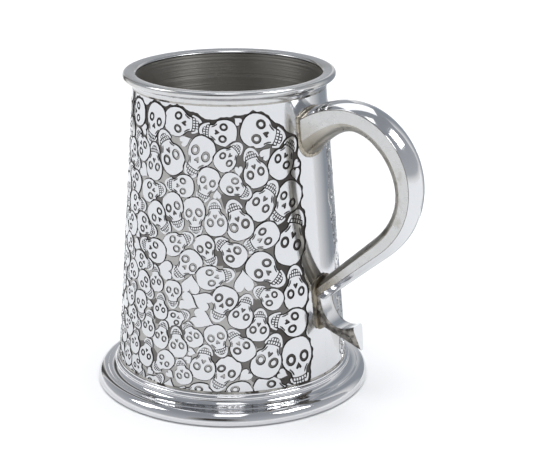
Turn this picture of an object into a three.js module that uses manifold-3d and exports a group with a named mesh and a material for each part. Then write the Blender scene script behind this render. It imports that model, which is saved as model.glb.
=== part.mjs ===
// Pewter pint tankard: a tapered drum rolled from sheet, with a cast lip, foot and handle soldered on.
// Millimetres, +Z up. The drum's axis is Z, the foot stands on z = 0, and the handle points along +X.
import * as THREE from "three";
import { mergeVertices } from "three/addons/utils/BufferGeometryUtils.js";
import Module from "manifold-3d";

const wasm = await Module();
wasm.setup();

// ---- driving dimensions ----
const TURN_SIDES = 72;            // sides of every turned ring
const FIT = 0.05;                 // clearance where turned pieces nest
const CUT = 0.3;                  // clearance where the handle and its solder meet the drum

const HEIGHT = 122.6;             // table to the top of the lip
const WALL = 1.2;                 // sheet thickness of the drum
const DRUM_LOW_RADIUS = 44.39;    // outer radius of the drum 14 mm above the table
const DRUM_LOW_Z = 14;
const DRUM_TAPER = 0.0766;        // outer radius lost per mm of height
const DRUM_BOTTOM = 0.9;
const DRUM_TOP = 121.2;
const SEAM_WIDTH = 0.7;           // gap between the two rolled edges, filled with solder

const LIP_RADIUS = 40.0;
const LIP_BOTTOM = 117.6;
const LIP_COLLAR = 0.45;          // thickness of the lip ring's lower edge
const LIP_MOUTH_BEVEL = 0.6;

const FOOT_RADIUS = 53.17;
const FOOT_TOP = 9.8;
const FOOT_COLLAR = 0.5;          // thickness of the foot ring's upper edge
const FOOT_REST_INNER = 47;       // inner edge of the flat ring that stands on the table

const BASE_UNDERSIDE = 0.8;       // the base disc sits this far above the table
const BASE_THICKNESS = 1.6;

const FILLET = 1.2;               // leg of the solder inside the base
const BEAD = 0.75;                // height of the solder beads under the lip and over the foot
const SOLDER_BAND = 1.1;          // width of the solder round a handle root

const GRIP_DOME = 2.3;            // height of the domed back over the crisp edge of the flat side
const GRIP_ROUND = 0.46;          // share of the depth under that edge that the inner rounding takes

// Half widths of the handle.
const GRIP_WIDTHS = [7.1, 6.2, 5.5, 5.1, 4.9]; // evenly spaced from the upper root to the lower
const ROOT_FLARE = 1.6;           // added at the upper root
const ROOT_FLARE_END = 0.16;      // share of the grip's length that flares
const TAIL_ROOT_HALF_WIDTH = 4.7;
const TAIL_TIP_HALF_WIDTH = 3.7;
const TAIL_BEVEL = 0.7;           // taken off round the end facet
const KEEL_ROOT = 0.95;           // width of the tail's underside, as a share of its top
const KEEL_TIP = 0.27;

// ---- helpers ----
const drumRadius = (z) => DRUM_LOW_RADIUS - DRUM_TAPER * (z - DRUM_LOW_Z);
const boreRadius = (z) => drumRadius(z) - WALL;
const at = (x, y) => new THREE.Vector2(x, y);

const pewter = (color, roughness) => new THREE.MeshStandardMaterial({ color, roughness, metalness: 1 });

const group = new THREE.Group();
function add(name, geometry, material) {
  const mesh = new THREE.Mesh(geometry, material);
  mesh.name = name;
  group.add(mesh);
}

// A closed outline of radius and height, drawn with its outer side going up, turned about Z.
function turned(outline, curveSteps = 4) {
  outline.closePath();
  const points = outline.getPoints(curveSteps);
  return new THREE.LatheGeometry(points, TURN_SIDES).rotateX(Math.PI / 2);
}

function solidOf(geometry) {
  const bare = geometry.clone();
  bare.deleteAttribute("normal");
  bare.deleteAttribute("uv");
  const merged = mergeVertices(bare, 1e-4);
  return new wasm.Manifold(new wasm.Mesh({
    numProp: 3,
    vertProperties: new Float32Array(merged.attributes.position.array),
    triVerts: new Uint32Array(merged.index.array),
  }));
}

function geometryOf(solid) {
  const mesh = solid.getMesh();
  const geometry = new THREE.BufferGeometry();
  geometry.setAttribute("position", new THREE.BufferAttribute(mesh.vertProperties, 3));
  geometry.setIndex(new THREE.BufferAttribute(mesh.triVerts, 1));
  geometry.computeVertexNormals();
  return geometry;
}

// A solid cone that follows the drum's outside, larger by the given clearance.
function drumEnvelope(clearance) {
  const below = -10;
  const above = HEIGHT + 10;
  const outline = new THREE.Path();
  outline.moveTo(0, below);
  outline.lineTo(drumRadius(below) + clearance, below);
  outline.lineTo(drumRadius(above) + clearance, above);
  outline.lineTo(0, above);
  return solidOf(turned(outline));
}

// Extrudes a section one unit long, then moves each point by place(x, y, along).
function swept(section, steps, place) {
  const options = { depth: 1, steps, bevelEnabled: false, curveSegments: 7 };
  const geometry = new THREE.ExtrudeGeometry(section, options);
  const position = geometry.attributes.position;
  for (let i = 0; i < position.count; i += 1) {
    const point = place(position.getX(i), position.getY(i), position.getZ(i));
    position.setXYZ(i, point.x, point.y, point.z);
  }
  return geometry;
}

// Places a section between an outer and an inner line in the XZ plane, grown by a margin all round.
// Section x runs from -1 to 1 over the width. Its y runs from 0 to 1 over the side, and 1 to 2 over a dome.
function between(outerLine, innerLine, halfWidthAt, dome, grow) {
  return (x, y, along) => {
    const outer = outerLine(along);
    const inner = innerLine(along);
    const thick = outer.clone().sub(inner).normalize();
    const side = outer.distanceTo(inner) - dome + 2 * grow;
    const depth = Math.min(y, 1) * side + Math.max(y - 1, 0) * dome;
    const point = inner.addScaledVector(thick, depth - grow);
    return new THREE.Vector3(point.x, x * (halfWidthAt(along, y) + grow), point.y);
  };
}

// A line made of curves, each taking an equal share of the parameter.
function chain(curves) {
  return (along) => {
    const scaled = along * curves.length;
    const index = Math.min(Math.floor(scaled), curves.length - 1);
    return curves[index].getPoint(scaled - index);
  };
}

// ---- drum: rolled sheet, open at the seam behind the handle ----
function drumTube() {
  const outline = new THREE.Path();
  outline.moveTo(boreRadius(DRUM_BOTTOM), DRUM_BOTTOM);
  outline.lineTo(drumRadius(DRUM_BOTTOM), DRUM_BOTTOM);
  outline.lineTo(drumRadius(DRUM_TOP), DRUM_TOP);
  outline.lineTo(boreRadius(DRUM_TOP), DRUM_TOP);
  const slot = new THREE.BoxGeometry(DRUM_LOW_RADIUS, SEAM_WIDTH, 2 * HEIGHT);
  slot.translate(DRUM_LOW_RADIUS, 0, 0);
  return geometryOf(solidOf(turned(outline)).subtract(solidOf(slot)));
}

function seamStrip() {
  const low = DRUM_BOTTOM + FIT;
  const high = DRUM_TOP - FIT;
  const side = new THREE.Shape([
    at(boreRadius(low) + FIT, low), at(drumRadius(low) - FIT, low),
    at(drumRadius(high) - FIT, high), at(boreRadius(high) + FIT, high),
  ]);
  const width = SEAM_WIDTH - 2 * FIT;
  const strip = new THREE.ExtrudeGeometry(side, { depth: width, bevelEnabled: false });
  return strip.rotateX(Math.PI / 2).translate(0, width / 2, 0);
}

// ---- lip: a cast ring that caps the drum, with a flat top, a round bead and a hollow under it ----
function lipRing() {
  const seat = DRUM_TOP + FIT;
  const mouth = boreRadius(DRUM_TOP);
  const collar = drumRadius(LIP_BOTTOM) + LIP_COLLAR;
  const outline = new THREE.Path();
  outline.moveTo(drumRadius(LIP_BOTTOM) + FIT, LIP_BOTTOM);
  outline.lineTo(collar, LIP_BOTTOM);
  outline.quadraticCurveTo(collar + 0.3, HEIGHT - 3, LIP_RADIUS - 1.4, HEIGHT - 2.8);
  outline.quadraticCurveTo(LIP_RADIUS - 0.1, HEIGHT - 2.5, LIP_RADIUS, HEIGHT - 1.5);
  outline.quadraticCurveTo(LIP_RADIUS, HEIGHT, LIP_RADIUS - 1.4, HEIGHT);
  outline.lineTo(mouth + LIP_MOUTH_BEVEL, HEIGHT - 0.25);
  outline.lineTo(mouth, HEIGHT - 0.25 - LIP_MOUTH_BEVEL);
  outline.lineTo(mouth, seat);
  outline.lineTo(drumRadius(seat) + FIT, seat);
  return turned(outline);
}

// ---- foot: a cast ring with a hollow above a swelling quarter round ----
function footRing() {
  const collar = drumRadius(FOOT_TOP) + FOOT_COLLAR;
  const outline = new THREE.Path();
  outline.moveTo(FOOT_REST_INNER, 0);
  outline.lineTo(FOOT_RADIUS - 0.7, 0);
  outline.lineTo(FOOT_RADIUS, 0.9);
  outline.lineTo(FOOT_RADIUS, 1.8);
  outline.quadraticCurveTo(FOOT_RADIUS - 0.5, 5, FOOT_RADIUS - 3.9, 5.4);
  outline.lineTo(FOOT_RADIUS - 4.1, 5.8);
  outline.quadraticCurveTo(collar + 1.1, 6.2, collar + 0.7, 7.7);
  outline.quadraticCurveTo(collar + 1, 8.6, collar + 0.3, 9.1);
  outline.lineTo(collar, 9.2);
  outline.lineTo(collar, FOOT_TOP - 0.15);
  outline.lineTo(collar - 0.15, FOOT_TOP);
  outline.lineTo(drumRadius(FOOT_TOP) + FIT, FOOT_TOP);
  outline.lineTo(drumRadius(DRUM_BOTTOM) + FIT, DRUM_BOTTOM);
  outline.lineTo(FOOT_REST_INNER - 0.4, DRUM_BOTTOM);
  return turned(outline);
}

// ---- base disc, soldered inside the drum's bottom edge ----
function baseDisc() {
  const radius = boreRadius(BASE_UNDERSIDE + BASE_THICKNESS) - FIT;
  const disc = new THREE.CylinderGeometry(radius, radius, BASE_THICKNESS, TURN_SIDES);
  return disc.rotateX(Math.PI / 2).translate(0, 0, BASE_UNDERSIDE + BASE_THICKNESS / 2);
}

// ---- turned solder joints ----
function baseSolder() {
  const low = BASE_UNDERSIDE + BASE_THICKNESS + FIT;
  const wall = (z) => boreRadius(z) - FIT;
  const outline = new THREE.Path();
  outline.moveTo(wall(low) - FILLET, low);
  outline.lineTo(wall(low), low);
  outline.lineTo(wall(low + FILLET), low + FILLET);
  outline.quadraticCurveTo(wall(low) - 0.2, low + 0.2, wall(low) - FILLET, low);
  return turned(outline);
}

function footSolder() {
  const low = FOOT_TOP + FIT;
  const wall = (z) => drumRadius(z) + FIT;
  const outline = new THREE.Path();
  outline.moveTo(wall(low), low);
  outline.lineTo(wall(low) + 0.35, low);
  outline.lineTo(wall(low + BEAD), low + BEAD);
  return turned(outline);
}

function lipSolder() {
  const high = LIP_BOTTOM - FIT;
  const wall = (z) => drumRadius(z) + FIT;
  const outline = new THREE.Path();
  outline.moveTo(wall(high - BEAD), high - BEAD);
  outline.lineTo(wall(high) + 0.35, high);
  outline.lineTo(wall(high), high);
  return turned(outline);
}

// ---- handle: one casting, a C-shaped grip with a tail that flicks out at its foot ----
// Each line is drawn in the XZ plane, from inside the drum's top, round the hand gap, to its foot.
const gripOuter = chain([
  new THREE.CubicBezierCurve(at(33, 109.3), at(40, 115.3), at(47, 117.5), at(54, 117.5)),
  new THREE.CubicBezierCurve(at(54, 117.5), at(70, 117.5), at(83.4, 103.5), at(83.4, 87.5)),
  new THREE.CubicBezierCurve(at(83.4, 87.5), at(83.4, 78), at(79.5, 69.1), at(70, 61.3)),
  new THREE.LineCurve(at(70, 61.3), at(40, 36.7)),
]);
const gripInner = chain([
  new THREE.CubicBezierCurve(at(33, 90.2), at(39.5, 96.5), at(47.5, 106.6), at(56, 106.6)),
  new THREE.CubicBezierCurve(at(56, 106.6), at(64.5, 106.6), at(73.9, 95.5), at(73.9, 85.5)),
  new THREE.CubicBezierCurve(at(73.9, 85.5), at(73.9, 79.5), at(71, 73.5), at(64.9, 67.9)),
  new THREE.LineCurve(at(64.9, 67.9), at(36.7, 42.3)),
]);
const tailTop = chain([
  new THREE.CubicBezierCurve(at(43, 46), at(43.5, 35.5), at(47.5, 27.5), at(57.6, 32.1)),
]);
const tailBottom = chain([
  new THREE.CubicBezierCurve(at(36, 38), at(39, 30.5), at(48, 29.5), at(59.8, 22.7)),
]);

const gripWidths = new THREE.SplineCurve(GRIP_WIDTHS.map((width, i) => at(i, width)));
function gripHalfWidth(along) {
  const flare = Math.max(0, 1 - along / ROOT_FLARE_END);
  return gripWidths.getPoint(along).y + ROOT_FLARE * flare * flare;
}

function tailHalfWidth(along, y) {
  const bevel = THREE.MathUtils.smoothstep(along, 0.94, 1) * TAIL_BEVEL;
  const top = THREE.MathUtils.lerp(TAIL_ROOT_HALF_WIDTH, TAIL_TIP_HALF_WIDTH, along ** 2) - bevel;
  const keel = THREE.MathUtils.lerp(KEEL_ROOT, KEEL_TIP, along ** 3);
  return top * THREE.MathUtils.lerp(keel, 1, Math.min(1, y / 0.85));
}

function gripSection() {
  const section = new THREE.Shape();
  section.moveTo(0, 0);
  section.quadraticCurveTo(1, 0, 1, GRIP_ROUND);
  section.lineTo(1, 1);
  section.quadraticCurveTo(0, 3, -1, 1);
  section.lineTo(-1, GRIP_ROUND);
  section.quadraticCurveTo(-1, 0, 0, 0);
  return section;
}

function tailSection() {
  const section = new THREE.Shape();
  section.moveTo(-0.7, 0);
  section.lineTo(0.7, 0);
  section.quadraticCurveTo(1, 0, 1, 0.15);
  section.lineTo(1, 0.85);
  section.quadraticCurveTo(1, 1, 0.8, 1);
  section.lineTo(-0.8, 1);
  section.quadraticCurveTo(-1, 1, -1, 0.85);
  section.lineTo(-1, 0.15);
  section.quadraticCurveTo(-1, 0, -0.7, 0);
  return section;
}

function handleSolid(grow) {
  const grip = swept(gripSection(), 44, between(gripOuter, gripInner, gripHalfWidth, GRIP_DOME, grow));
  const tail = swept(tailSection(), 16, between(tailTop, tailBottom, tailHalfWidth, 0, grow));
  return solidOf(grip).add(solidOf(tail));
}

// The band of solder where the handle meets the drum, above or below the middle of the hand gap.
function rootSolder(upper) {
  const middle = 75;
  const half = new THREE.BoxGeometry(120, 60, 2 * middle).translate(60, 0, upper ? 2 * middle : 0);
  const band = handleSolid(SOLDER_BAND).subtract(handleSolid(CUT));
  const skin = drumEnvelope(SOLDER_BAND).subtract(drumEnvelope(CUT));
  return geometryOf(band.intersect(skin).intersect(solidOf(half)));
}

// ---- assembly ----
add("drum", drumTube(), pewter(0xc4c5c9, 0.22));
add("lip_ring", lipRing(), pewter(0xcdced2, 0.12));
add("foot_ring", footRing(), pewter(0xcdced2, 0.1));
add("base_disc", baseDisc(), pewter(0x9a9894, 0.4));
add("handle", geometryOf(handleSolid(0).subtract(drumEnvelope(CUT))), pewter(0xc9c9cb, 0.2));
add("seam_solder", seamStrip(), pewter(0xb3b1ac, 0.35));
add("base_solder", baseSolder(), pewter(0x8f8c86, 0.4));
add("foot_solder", footSolder(), pewter(0x8d8a84, 0.4));
add("lip_solder", lipSolder(), pewter(0x8d8a84, 0.4));
add("handle_upper_solder", rootSolder(true), pewter(0xa49c8c, 0.4));
add("handle_lower_solder", rootSolder(false), pewter(0xa49c8c, 0.4));

export default group;
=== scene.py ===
# Pewter pint tankard: the finished surfaces round the CAD frame, with its camera, floor and lights.
# Shapes are worked out in millimetres in the CAD frame (+Z up, handle along +X) and scaled once, to metres.
import math

import bmesh
import bpy
import numpy as np
from mathutils import Matrix, Vector
from mathutils.geometry import delaunay_2d_cdt


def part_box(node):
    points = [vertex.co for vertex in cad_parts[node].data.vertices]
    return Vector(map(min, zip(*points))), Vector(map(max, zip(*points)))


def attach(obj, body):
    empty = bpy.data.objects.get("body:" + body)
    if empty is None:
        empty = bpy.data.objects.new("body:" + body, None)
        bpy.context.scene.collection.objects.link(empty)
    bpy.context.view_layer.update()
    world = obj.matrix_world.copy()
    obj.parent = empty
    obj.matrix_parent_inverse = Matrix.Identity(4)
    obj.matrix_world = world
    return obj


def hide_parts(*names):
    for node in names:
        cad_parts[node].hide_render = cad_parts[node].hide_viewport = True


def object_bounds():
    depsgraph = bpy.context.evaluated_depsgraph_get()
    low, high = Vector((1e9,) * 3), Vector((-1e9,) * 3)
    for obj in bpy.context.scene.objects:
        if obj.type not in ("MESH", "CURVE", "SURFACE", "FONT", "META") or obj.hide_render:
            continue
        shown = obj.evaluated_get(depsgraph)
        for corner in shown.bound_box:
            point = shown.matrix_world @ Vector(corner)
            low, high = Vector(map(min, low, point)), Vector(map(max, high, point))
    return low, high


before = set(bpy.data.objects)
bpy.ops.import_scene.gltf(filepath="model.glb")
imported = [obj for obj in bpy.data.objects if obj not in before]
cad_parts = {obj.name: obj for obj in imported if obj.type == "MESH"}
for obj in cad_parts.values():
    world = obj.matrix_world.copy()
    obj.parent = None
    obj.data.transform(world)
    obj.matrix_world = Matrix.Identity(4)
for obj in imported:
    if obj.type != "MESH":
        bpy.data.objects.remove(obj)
cad_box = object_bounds()

MM = 0.001

# ---- dimensions, as in the CAD part ----
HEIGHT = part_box("lip_ring")[1].z / MM
LIP_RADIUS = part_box("lip_ring")[1].y / MM
LIP_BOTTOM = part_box("lip_ring")[0].z / MM
FOOT_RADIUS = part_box("foot_ring")[1].y / MM
FOOT_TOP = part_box("foot_ring")[1].z / MM
DRUM_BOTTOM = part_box("drum")[0].z / MM
DRUM_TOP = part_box("drum")[1].z / MM
DRUM_FOOT_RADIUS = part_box("drum")[1].y / MM
TAPER = 0.0766                # radius lost per mm of height
WALL = 1.2
FIT = 0.05
SEAM_HALF = 0.35              # half the gap between the rolled edges
MID_RADIUS = 40.7             # radius at which the pattern is laid out


def drum_radius(z):
    return DRUM_FOOT_RADIUS - TAPER * (z - DRUM_BOTTOM)


def bore_radius(z):
    return drum_radius(z) - WALL


# ---- mesh helpers ----
def new_object(name, verts, faces, materials, face_slots=None):
    mesh = bpy.data.meshes.new(name)
    mesh.from_pydata(verts, [], faces)
    for material in materials:
        mesh.materials.append(material)
    if face_slots is not None:
        mesh.polygons.foreach_set("material_index", np.asarray(face_slots, np.int32))
    obj = bpy.data.objects.new(name, mesh)
    bpy.context.scene.collection.objects.link(obj)
    return obj


def finish_piece(obj, node):
    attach(obj, "root")
    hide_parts(node)
    return obj


# ---- raised pattern: its motifs ----
# A motif is a list of (kind, loop, draft). Loops are painted in order: a "cut" lowers what it covers and a
# "raise" lifts it again. A motif is drawn one unit wide, then scaled to its size. draft is how far a wall's
# foot spreads, in mm.
RELIEF = 0.36                 # depth of the ground
GAP = 0.6                     # between neighbouring motifs
CUT_GROWTH = GAP * 0.8        # width of the ground that a motif cuts round itself
FINE_SKULL = 7.4              # skulls wider than this have every detail
PLAIN_SKULL = 6               # and those up to this width have the fewest


def smooth_loop(points, per_span=3):
    """Closed Catmull-Rom curve through the points."""
    p = np.asarray(points, float)
    a, b, c, d = np.roll(p, 1, 0), p, np.roll(p, -1, 0), np.roll(p, -2, 0)
    out = []
    for t in np.arange(per_span) / per_span:
        out.append(0.5 * (2 * b + (c - a) * t + (2 * a - 5 * b + 4 * c - d) * t ** 2
                          + (3 * b - a - 3 * c + d) * t ** 3))
    return np.stack(out, 1).reshape(-1, 2)


def mirrored(half):
    """A loop from its right half, listed from the top middle to the bottom middle."""
    right = np.asarray(half, float)
    left = right[1:-1][::-1] * (-1, 1)
    return np.concatenate([right, left])


def ellipse(cx, cy, rx, ry, tilt, count):
    a = np.arange(count) * 2 * math.pi / count
    x, y = rx * np.cos(a), ry * np.sin(a)
    return np.stack([cx + x * math.cos(tilt) - y * math.sin(tilt),
                     cy + x * math.sin(tilt) + y * math.cos(tilt)], 1)


def loop_area(loop):
    """Twice the area, above zero where the loop runs anticlockwise."""
    after = np.roll(loop, -1, 0)
    return np.sum(loop[:, 0] * after[:, 1] - after[:, 0] * loop[:, 1])


def grown(loop, margin):
    """The loop moved outwards by a small margin."""
    step = np.roll(loop, -1, 0) - np.roll(loop, 1, 0)
    normal = np.stack([step[:, 1], -step[:, 0]], 1)
    normal /= np.linalg.norm(normal, axis=1, keepdims=True) + 1e-9
    return loop + normal * margin * math.copysign(1, loop_area(loop))


def skull(rng, size):
    """A plain skull, one unit across its cranium, with teeth over a crescent jaw."""
    tall = rng.uniform(0.9, 1.14)
    cheek = rng.uniform(0.36, 0.43)
    eye = rng.uniform(0.15, 0.178)
    tilt = rng.uniform(-0.1, 0.4)
    fine = size > FINE_SKULL
    plain = size <= PLAIN_SKULL
    outline_draft, detail_draft = min(0.4, 0.045 * size), min(0.15, 0.016 * size)
    cranium = mirrored([(0, 0.60 * tall), (0.27, 0.56 * tall), (0.46, 0.37 * tall), (0.52, 0.10),
                        (0.485, -0.12), (cheek, -0.28), (0.30, -0.36), (0.245, -0.47),
                        (0.225, -0.575), (0, -0.61)])
    loops = [("raise", smooth_loop(cranium, 1 if plain else 2), outline_draft)]
    if fine:
        for side in (-1, 1):
            hook = np.array([(0.345, -0.29), (0.285, -0.36), (0.205, -0.51), (0.165, -0.52), (0.20, -0.40),
                             (0.29, -0.28)]) * (side, 1)
            loops.append(("cut", hook, detail_draft))
    for side in (-1, 1):
        x, y, lean = side * 0.235, 0.01, side * tilt
        loops.append(("cut", ellipse(x, y, eye, eye * 1.17, lean, 15 if fine else 10), outline_draft * 0.6))
        loops.append(("raise", ellipse(x, y, eye * 0.46, eye * 0.56, lean, 10 if fine else 6), detail_draft))
    nose = mirrored([(0, -0.13), (0.055, -0.21), (0.105, -0.31), (0.06, -0.36), (0, -0.315)])
    loops.append(("cut", nose, detail_draft))
    teeth = 4 if plain else 5
    pitch = 0.47 / teeth
    for row in (-0.74,) if plain else (-0.685, -0.81):
        for k in range(teeth):
            x = (k - (teeth - 1) / 2) * pitch
            rise = 0.55 * x * x
            half, up = pitch * 0.33, 0.08 if plain else 0.043
            box = [(x - half, row + rise - up), (x + half, row + rise - up), (x + half, row + rise + up),
                   (x - half, row + rise + up)]
            loops.append(("raise", np.array(box), detail_draft * 0.6))
    a = np.radians(np.linspace(192, 348, 12 if fine else 8))
    outer = np.stack([0.345 * np.cos(a), -0.50 + 0.54 * np.sin(a)], 1)
    inner = np.stack([0.29 * np.cos(a), -0.50 + 0.405 * np.sin(a)], 1)[::-1]
    loops.append(("raise", np.concatenate([outer, inner]), detail_draft))
    hull = mirrored([(0, 0.62 * tall), (0.28, 0.58 * tall), (0.48, 0.38 * tall), (0.54, 0.10), (0.50, -0.14),
                     (0.39, -0.34), (0.36, -0.60), (0.33, -0.78), (0.2, -1.0), (0, -1.05)]) * size
    ground = ("cut", grown(hull, CUT_GROWTH), outline_draft)
    return [ground] + [(kind, loop * size, draft) for kind, loop, draft in loops], hull


def heart(rng, size):
    """A plain heart with a long point."""
    count = 24 if size > 5 else 16
    t = np.arange(count) * 2 * math.pi / count + 0.001
    long = rng.uniform(1.05, 1.35)
    x = 16 * np.sin(t) ** 3
    y = 13 * np.cos(t) - 5 * np.cos(2 * t) - 2 * np.cos(3 * t) - np.cos(4 * t)
    loop = np.stack([x, y * long], 1) / 33 * size
    draft = min(0.3, 0.035 * size)
    return [("cut", grown(loop, CUT_GROWTH), draft), ("raise", loop, draft)], loop


# ---- raised pattern: packing the motifs ----
ROWS, COLUMNS = 216, 432
WIDE = 2 * math.pi * MID_RADIUS
CELL = WIDE / COLUMNS         # packing grid, mm
PANEL_HALF_ANGLE = math.radians(13.5)
FAR_SHIFT = 2.6               # how much wider the plain panel is on its far side, mm
SIDE_WAVE = 1.6               # how far the pattern's sides wander, mm
PATTERN_TOP = 115.2
TOP_WAVE = 3.2                # how far its top dips, mm
CORNER_DROP, CORNER_REACH = 9, 10   # how its top steps down by the plain panel, mm
PATTERN_BOTTOM = 5.5          # motifs run down behind the foot ring
OVERLAP = 0.06                # share of a motif that may lie over its neighbours
CONTACT = 1.2                 # a neighbour this near counts as touching, mm
MOTIF_SIZES = [(skull, 11.6, 16), (skull, 9.8, 42), (skull, 8.2, 80), (heart, 7.6, 20), (skull, 6.6, 110),
               (heart, 6.0, 30), (skull, 5.2, 120), (heart, 4.4, 60), (heart, 3.2, 60)]


def inside(loop, x, y):
    """Which points (x, y) lie inside the loop."""
    hit = np.zeros(x.shape, bool)
    for (x0, y0), (x1, y1) in zip(loop, np.roll(loop, -1, 0)):
        if y0 != y1:
            hit ^= ((y0 > y) != (y1 > y)) & (x < (x1 - x0) * (y - y0) / (y1 - y0) + x0)
    return hit


def turned_loop(loop, angle):
    c, s = math.cos(angle), math.sin(angle)
    return loop @ np.array([[c, s], [-s, c]])


def stamp(loop):
    """The loop as a grid of cells round its own origin, wrapped like the whole grid."""
    reach = int(np.abs(loop).max() / CELL) + 2
    ticks = np.arange(-reach, reach + 1)
    gx, gy = np.meshgrid(ticks * CELL, ticks * CELL)
    grid = np.zeros((ROWS, COLUMNS))
    grid[np.ix_(ticks % ROWS, ticks % COLUMNS)] = inside(loop, gx, gy)
    return grid


def outside_pattern(u, v):
    """Which points of the unrolled drum lie beyond the pattern's uneven border."""
    margin = PANEL_HALF_ANGLE * MID_RADIUS + SIDE_WAVE * np.sin(v / 5.2) * np.sin(v / 17 + 1)
    from_side = np.minimum(u - FAR_SHIFT, WIDE - u) - margin
    dip = TOP_WAVE * (1 + np.sin(u / 6.1 + 2 * np.sin(u / 19))) / 2
    ceiling = PATTERN_TOP - dip - CORNER_DROP * np.exp(-(from_side / CORNER_REACH) ** 2)
    return (v > ceiling) | (v < PATTERN_BOTTOM) | (from_side < 0)


def pack_motifs(rng):
    """Places the motifs, large ones first, each where it fits and touches most neighbours."""
    v, u = np.meshgrid((np.arange(ROWS) + 0.5) * CELL, (np.arange(COLUMNS) + 0.5) * CELL, indexing="ij")
    taken = outside_pattern(u, v).astype(float)
    placed = []
    for order, (make, size, count) in enumerate(MOTIF_SIZES):
        for _ in range(count):
            loops, hull = make(rng, size * rng.uniform(0.93, 1.07))
            angle = rng.uniform(0, 2 * math.pi)
            hull = turned_loop(hull, angle)
            body = stamp(grown(hull, GAP / 2))
            ring = stamp(grown(hull, GAP / 2 + CONTACT)) - body
            field = np.fft.rfft2(taken)
            overlap = np.fft.irfft2(field * np.conj(np.fft.rfft2(body)), s=taken.shape)
            contact = np.fft.irfft2(field * np.conj(np.fft.rfft2(ring)), s=taken.shape)
            loose = 0.9 if order < 2 else 0.1
            score = contact / ring.sum() + loose * rng.random(taken.shape)
            score[overlap > 0.5 + OVERLAP * body.sum()] = -1
            row, column = np.unravel_index(np.argmax(score), score.shape)
            if score[row, column] < 0:
                continue
            taken = np.maximum(taken, np.roll(body, (row, column), (0, 1)))
            origin = np.array([(column + 0.5) * CELL, (row + 0.5) * CELL])
            placed.append(([(kind, turned_loop(loop, angle) + origin, draft) for kind, loop, draft in loops],
                           hull + origin))
    return placed


def rolled_edge(along, across, samples, ball, margin):
    """The edge under a ball that rolls over the points, margin away from them."""
    reach = ball + margin
    centre = np.full(samples.shape, -1e3)
    for a, c in zip(along, across):
        near = np.abs(samples - a) < reach
        centre[near] = np.maximum(centre[near], c + np.sqrt(reach ** 2 - (samples[near] - a) ** 2))
    edge = np.full(samples.shape, 1e3)
    for s, c in zip(samples, centre):
        near = np.abs(samples - s) < ball
        edge[near] = np.minimum(edge[near], c - np.sqrt(ball ** 2 - (samples[near] - s) ** 2))
    return edge


# ---- drum ----
STEP_ANGLES = 168             # columns of the drum's plain edges and its inside
RISERS = 14                   # rows of the same
EDGE_BALL = 2.4               # rounding of the hollows in the pattern's edge
EDGE_MARGIN = 1.0             # dark band between the pattern's edge and its outermost motifs
EDGE_STEP = 0.55              # between points along the pattern's edge
EDGE_DRAFT = 0.3
SEAM_CLEAR = 1.5              # the ground stays this far from the seam's middle
BORDER_CLEAR = 1.0            # and the plain border's outlines start this far from it
PAINTED_REFLECTION_WIDTH = 24.0             # the ground and walls are painted pale, as a reflection, this far round from the seam, on the far side
LONGEST_EDGE = 3.0            # long straight edges are split to this length
GRID_U, GRID_V = 2.9, 3.6     # spacing of the points added so that no triangle spans much of the curve


def pattern_loops():
    """Every loop on the unrolled drum, in painting order."""
    placed = pack_motifs(np.random.default_rng(7))
    outline = np.concatenate([hull for _, hull in placed])
    low, high = FOOT_TOP - 1, DRUM_TOP - 2
    columns = np.arange(BORDER_CLEAR, WIDE - BORDER_CLEAR, EDGE_STEP)
    top = rolled_edge(outline[:, 0], outline[:, 1], columns, EDGE_BALL, EDGE_MARGIN)
    top = np.clip(top, 20, high - 1)
    rows = np.arange(low, high, EDGE_STEP)
    near, far = outline[:, 0] < WIDE / 2, outline[:, 0] > WIDE / 2
    low_side = -rolled_edge(outline[near, 1], -outline[near, 0], rows, EDGE_BALL, EDGE_MARGIN)
    high_side = rolled_edge(outline[far, 1], outline[far, 0], rows, EDGE_BALL, EDGE_MARGIN)
    low_side, high_side = np.clip(low_side, 2, 40), np.clip(high_side, WIDE - 40, WIDE - 2)
    start, end = BORDER_CLEAR, WIDE - BORDER_CLEAR
    ground = np.array([(SEAM_CLEAR, low), (WIDE - SEAM_CLEAR, low),
                       (WIDE - SEAM_CLEAR, high), (SEAM_CLEAR, high)])
    above = np.concatenate([np.stack([columns, top], 1), [(end, high + 1), (start, high + 1)]])
    low_border = np.concatenate([np.stack([low_side, rows], 1), [(start, rows[-1]), (start, rows[0])]])
    high_border = np.concatenate([np.stack([high_side, rows], 1), [(end, rows[-1]), (end, rows[0])]])
    loops = [("cut", ground, EDGE_DRAFT)]
    loops += [("raise", border, EDGE_DRAFT) for border in (above, low_border, high_border)]
    for motif, _ in placed:
        loops += motif
    return loops


def subdivided(loop, longest):
    """The loop with points added along its long straight edges."""
    out = []
    for here, after in zip(loop, np.roll(loop, -1, 0)):
        parts = int(np.linalg.norm(after - here) / longest) + 1
        out += [here + (after - here) * k / parts for k in range(parts)]
    return np.array(out)


def drum_steps():
    """The places round the drum and up it that its plain edges and its inside share."""
    return (np.linspace(SEAM_HALF, WIDE - SEAM_HALF, STEP_ANGLES + 1),
            np.linspace(DRUM_BOTTOM, DRUM_TOP, RISERS + 1))


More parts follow.
